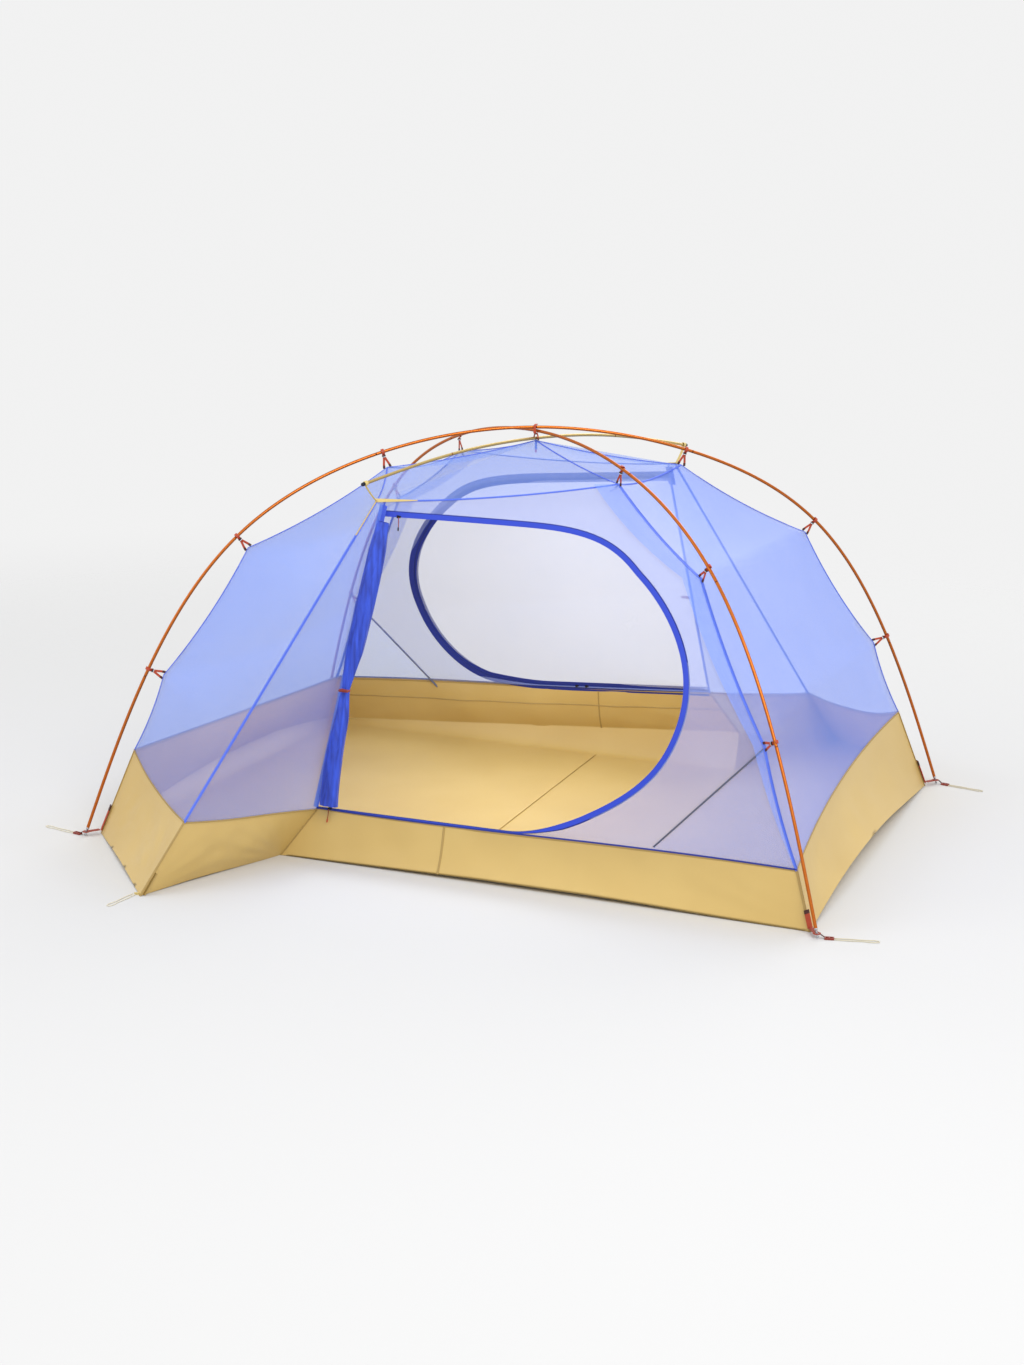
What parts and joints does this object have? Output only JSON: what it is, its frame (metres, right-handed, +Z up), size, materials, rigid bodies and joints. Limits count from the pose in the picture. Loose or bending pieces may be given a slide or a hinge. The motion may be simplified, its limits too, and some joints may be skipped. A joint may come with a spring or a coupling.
{
  "type": "freestanding tent",
  "caption": "Freestanding backpacking tent body on crossed hoop poles and a short ridge pole, with a clip-on sheer canopy, a bathtub floor and zipped side doors.",
  "frame": {"origin": "on the ground at the centre of the tent, midway between the pole feet", "axes": "+Z up, X along the sleepers, the open front door faces -Y; the back half is the front half turned half a turn about Z"},
  "size_m": [2.4298, 2.5202, 1.1485],
  "materials": {
    "pole_alloy": "copper-orange anodised tube",
    "ridge_alloy": "gold anodised tube",
    "tip_metal": "machined, bare",
    "shock_cord": "braided elastic cord",
    "clip_plastic": "moulded acetal, rust red",
    "rust_webbing": "woven nylon webbing",
    "sand_webbing": "woven nylon webbing",
    "bathtub_cloth": "coated nylon, sand",
    "sheer_cloth": "sheer uncoated nylon, light blue",
    "door_mesh": "fine no-see-um mesh, pale lavender",
    "door_cloth": "plain nylon, royal blue",
    "zip_tape": "coil zip on woven tape",
    "slider_metal": "painted die-cast zinc",
    "peg_cord": "braided cord, pale with a fleck"
  },
  "bodies": {
    "tent": {"pole_a": "pole_alloy", "shock_cord_a": "shock_cord", "pole_tip_front_left": "tip_metal", "pole_tip_back_right": "tip_metal", "pole_b": "pole_alloy", "shock_cord_b": "shock_cord", "pole_tip_front_right": "tip_metal", "pole_tip_back_left": "tip_metal", "ridge_pole": "ridge_alloy", "ridge_tab_front": "sand_webbing", "ridge_tab_back": "sand_webbing", "apex_clip": "clip_plastic", "bathtub_floor": "bathtub_cloth", "bathtub_wall_front": "bathtub_cloth", "bathtub_wall_back": "bathtub_cloth", "bathtub_wall_right": "bathtub_cloth", "bathtub_wall_left": "bathtub_cloth", "roof_panel": "sheer_cloth", "end_panel_right": "sheer_cloth", "end_panel_left": "sheer_cloth", "side_panel_front": "sheer_cloth", "side_panel_back": "sheer_cloth", "door_wall_front": "door_mesh", "zipper_front": "zip_tape", "door_wall_back": "door_mesh", "zipper_back": "zip_tape", "door_front_rolled": "door_cloth", "corner_strap_front_left": "rust_webbing", "buckle_front_left": "clip_plastic", "peg_cord_front_left": "peg_cord", "corner_strap_front_right": "rust_webbing", "buckle_front_right": "clip_plastic", "peg_cord_front_right": "peg_cord", "corner_strap_back_right": "rust_webbing", "buckle_back_right": "clip_plastic", "peg_cord_back_right": "peg_cord", "corner_strap_back_left": "rust_webbing", "buckle_back_left": "clip_plastic", "peg_cord_back_left": "peg_cord", "peg_loop_front": "peg_cord", "peg_loop_back": "peg_cord"},
    "clip_a1": {"clip_a1": "clip_plastic"},
    "clip_a2": {"clip_a2": "clip_plastic"},
    "clip_a3": {"clip_a3": "clip_plastic"},
    "clip_a4": {"clip_a4": "clip_plastic"},
    "clip_a5": {"clip_a5": "clip_plastic"},
    "clip_a6": {"clip_a6": "clip_plastic"},
    "clip_b1": {"clip_b1": "clip_plastic"},
    "clip_b2": {"clip_b2": "clip_plastic"},
    "clip_b3": {"clip_b3": "clip_plastic"},
    "clip_b4": {"clip_b4": "clip_plastic"},
    "clip_b5": {"clip_b5": "clip_plastic"},
    "clip_b6": {"clip_b6": "clip_plastic"},
    "back_door": {"door_back": "door_cloth"},
    "slider_front_top": {"slider_front_top": "slider_metal"},
    "slider_front_sill": {"slider_front_sill": "slider_metal"},
    "slider_back_left": {"slider_back_left": "slider_metal"},
    "slider_back_right": {"slider_back_right": "slider_metal"},
    "toggle_front": {"toggle_front": "clip_plastic"},
    "toggle_back": {"toggle_back": "clip_plastic"}
  },
  "joints": [
    {"name": "clip_a1_unhook", "type": "hinge", "parent": "tent", "child": "clip_a1", "pos_m": [-0.87184, -0.63264, 0.45979], "axis": [0.3561, 0.2573, 0.8983], "range_deg": [0, 60]},
    {"name": "clip_a2_unhook", "type": "hinge", "parent": "tent", "child": "clip_a2", "pos_m": [-0.68188, -0.47402, 0.81284], "axis": [0.5535, 0.495, 0.6698], "range_deg": [0, 60]},
    {"name": "clip_a3_unhook", "type": "hinge", "parent": "tent", "child": "clip_a3", "pos_m": [-0.37114, -0.21268, 1.02701], "axis": [0.7802, 0.553, 0.2924], "range_deg": [0, 60]},
    {"name": "clip_a4_unhook", "type": "hinge", "parent": "tent", "child": "clip_a4", "pos_m": [0.37114, 0.21268, 1.02701], "axis": [0.7802, 0.553, -0.2924], "range_deg": [0, 60]},
    {"name": "clip_a5_unhook", "type": "hinge", "parent": "tent", "child": "clip_a5", "pos_m": [0.68188, 0.47402, 0.81284], "axis": [0.5535, 0.495, -0.6698], "range_deg": [0, 60]},
    {"name": "clip_a6_unhook", "type": "hinge", "parent": "tent", "child": "clip_a6", "pos_m": [0.87184, 0.63264, 0.45979], "axis": [0.3561, 0.2573, -0.8983], "range_deg": [0, 60]},
    {"name": "clip_b1_unhook", "type": "hinge", "parent": "tent", "child": "clip_b1", "pos_m": [0.87222, -0.62598, 0.44114], "axis": [-0.3699, 0.2623, 0.8913], "range_deg": [0, 60]},
    {"name": "clip_b2_unhook", "type": "hinge", "parent": "tent", "child": "clip_b2", "pos_m": [0.64129, -0.45961, 0.82797], "axis": [-0.6136, 0.4512, 0.648], "range_deg": [0, 60]},
    {"name": "clip_b3_unhook", "type": "hinge", "parent": "tent", "child": "clip_b3", "pos_m": [0.33187, -0.2319, 1.02586], "axis": [-0.7788, 0.5605, 0.2818], "range_deg": [0, 60]},
    {"name": "clip_b4_unhook", "type": "hinge", "parent": "tent", "child": "clip_b4", "pos_m": [-0.33187, 0.2319, 1.02586], "axis": [-0.7788, 0.5605, -0.2818], "range_deg": [0, 60]},
    {"name": "clip_b5_unhook", "type": "hinge", "parent": "tent", "child": "clip_b5", "pos_m": [-0.64129, 0.45961, 0.82797], "axis": [-0.6136, 0.4512, -0.648], "range_deg": [0, 60]},
    {"name": "clip_b6_unhook", "type": "hinge", "parent": "tent", "child": "clip_b6", "pos_m": [-0.87222, 0.62598, 0.44114], "axis": [-0.3699, 0.2623, -0.8913], "range_deg": [0, 60]},
    {"name": "back_door_swing", "type": "hinge", "parent": "tent", "child": "back_door", "pos_m": [0.352, 0.654, 0.245], "axis": [0.1569, 0.1687, -0.9731], "range_deg": [0, 65]},
    {"name": "front_top_slider_travel", "type": "slide", "parent": "tent", "child": "slider_front_top", "axis": [0.9616, 0.271, -0.0434], "range_m": [-0.005, 0.05]},
    {"name": "front_sill_slider_travel", "type": "slide", "parent": "tent", "child": "slider_front_sill", "axis": [0.9993, -0.0345, 0.0117], "range_m": [-0.03, 0.58]},
    {"name": "back_right_slider_travel", "type": "slide", "parent": "tent", "child": "slider_back_right", "axis": [0.9968, -0.038, 0.0702], "range_m": [0, 0.4]},
    {"name": "back_left_slider_travel", "type": "slide", "parent": "tent", "child": "slider_back_left", "axis": [-0.9968, 0.038, -0.0702], "range_m": [0, 0.16]},
    {"name": "front_toggle_turn", "type": "hinge", "parent": "tent", "child": "toggle_front", "pos_m": [-0.29534, -0.65998, 0.478], "axis": [0, -1, 0], "range_deg": [-90, 90]},
    {"name": "back_toggle_turn", "type": "hinge", "parent": "back_door", "child": "toggle_back", "pos_m": [0.27602, 0.60902, 0.555], "axis": [0, 1, 0], "range_deg": [-90, 90]}
  ]
}
